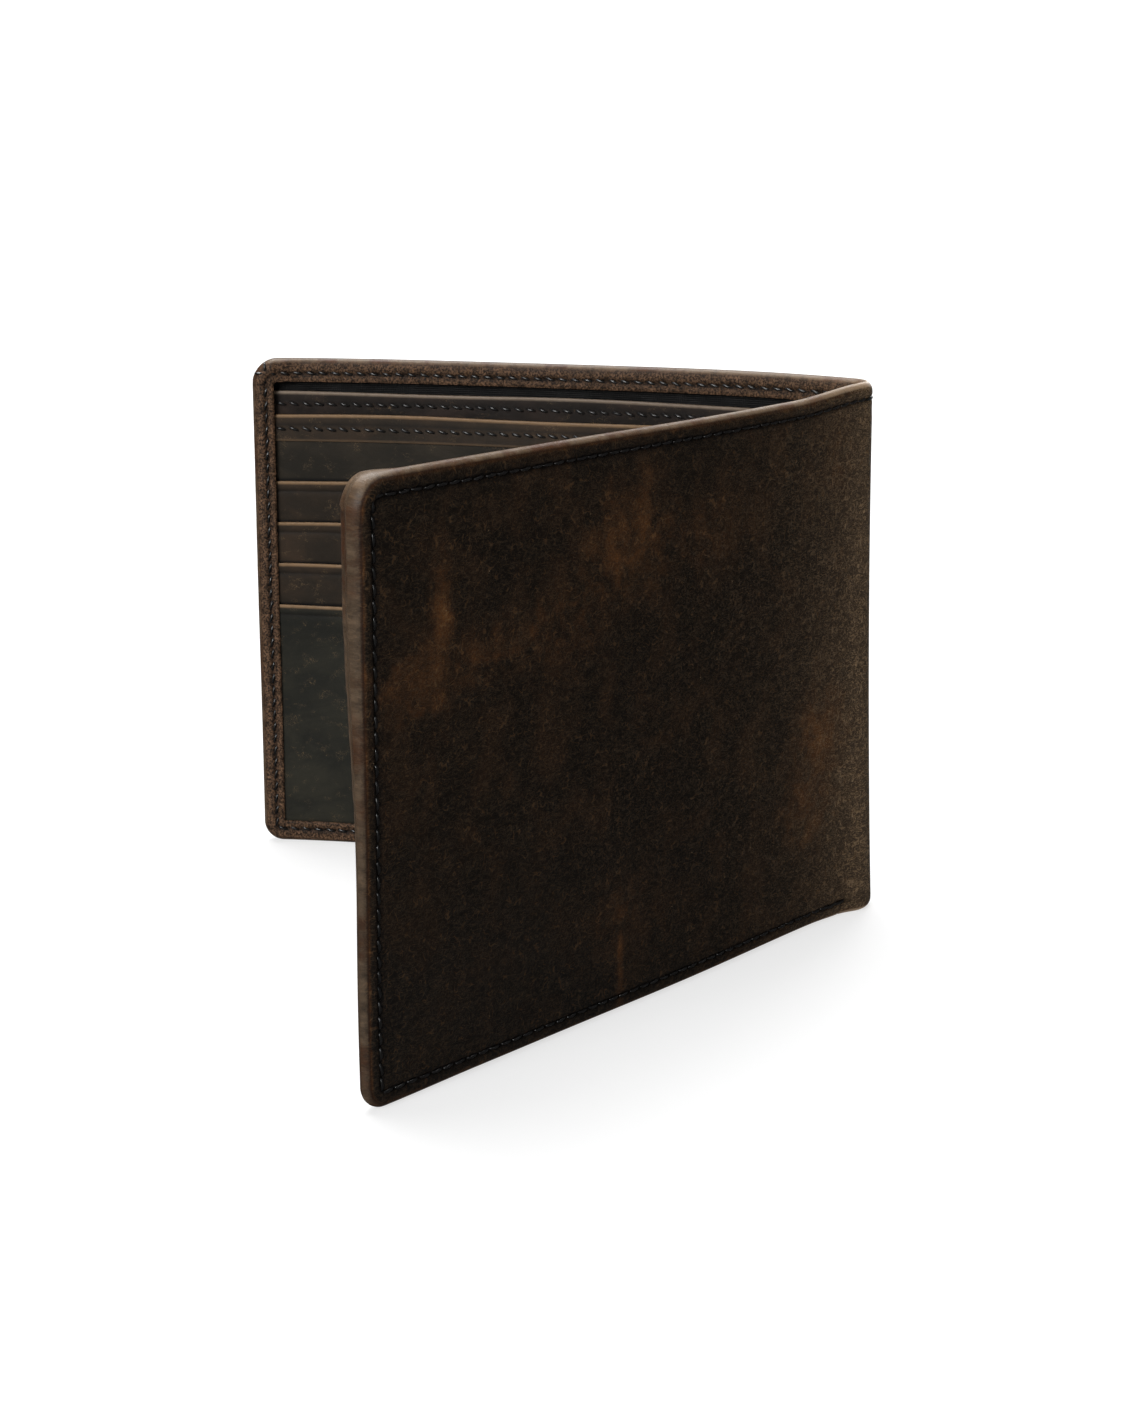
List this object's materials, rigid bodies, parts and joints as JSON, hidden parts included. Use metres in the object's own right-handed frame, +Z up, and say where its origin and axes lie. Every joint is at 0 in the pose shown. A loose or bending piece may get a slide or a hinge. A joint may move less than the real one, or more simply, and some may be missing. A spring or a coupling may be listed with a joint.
{
  "type": "bifold wallet",
  "caption": "Leather bifold wallet standing half open on its lower edges, with stepped card pockets, a divided bill compartment and a soft folding spine.",
  "frame": {"origin": "on the floor, under the middle of the standing wallet's box", "axes": "+Z up; +X along the back half, from its free edge to the fold; the front half opens towards -Y"},
  "size_m": [0.1122, 0.1112, 0.09],
  "materials": {
    "shell_leather": "waxed, worn along the edges",
    "card_leather": "waxed, tan cut edges",
    "inner_wall_leather": "waxed",
    "divider_leather": "waxed",
    "bill_lining": "smooth, dark",
    "pocket_fabric": "plain weave",
    "stiffener": "bonded fibre board",
    "thread": "waxed thread"
  },
  "bodies": {
    "back_half": {"band_thread_back": "thread", "bill_divider_back": "divider_leather", "bill_lining_back": "bill_lining", "card_pocket_1_back": "card_leather", "card_pocket_2_back": "card_leather", "card_pocket_3_back": "card_leather", "card_pocket_4_back": "card_leather", "divider_thread_back": "thread", "edge_thread_back": "thread", "inner_wall_back": "inner_wall_leather", "pocket_tail_1_back": "pocket_fabric", "pocket_tail_2_back": "pocket_fabric", "pocket_tail_3_back": "pocket_fabric", "pocket_thread_back": "thread", "shell_back": "shell_leather", "stiffener_back": "stiffener", "top_band_back": "card_leather"},
    "spine": {"spine_divider": "divider_leather", "spine_inner_wall": "inner_wall_leather", "spine_lining": "bill_lining", "spine_shell": "shell_leather", "spine_thread": "thread"},
    "front_half": {"band_thread_front": "thread", "bill_divider_front": "divider_leather", "bill_lining_front": "bill_lining", "card_pocket_1_front": "card_leather", "card_pocket_2_front": "card_leather", "card_pocket_3_front": "card_leather", "card_pocket_4_front": "card_leather", "divider_thread_front": "thread", "edge_thread_front": "thread", "inner_wall_front": "inner_wall_leather", "pocket_tail_1_front": "pocket_fabric", "pocket_tail_2_front": "pocket_fabric", "pocket_tail_3_front": "pocket_fabric", "pocket_thread_front": "thread", "shell_front": "shell_leather", "stiffener_front": "stiffener", "top_band_front": "card_leather"}
  },
  "joints": [
    {"name": "fold_back", "type": "hinge", "parent": "back_half", "child": "spine", "pos_m": [0.05262, 0.04822, 0.045], "axis": [0, 0, 1], "range_deg": [-30.5, 50.5], "deforming": ["spine_divider", "spine_inner_wall", "spine_lining", "spine_shell", "spine_thread"]},
    {"name": "fold_front", "type": "hinge", "parent": "spine", "child": "front_half", "pos_m": [0.05519, 0.04269, 0.045], "axis": [0, 0, 1], "range_deg": [-30.5, 50.5], "deforming": ["spine_divider", "spine_inner_wall", "spine_lining", "spine_shell", "spine_thread"]}
  ],
  "couplings": [
    {"joint": "fold_front", "follows": "fold_back", "ratio": 1}
  ]
}
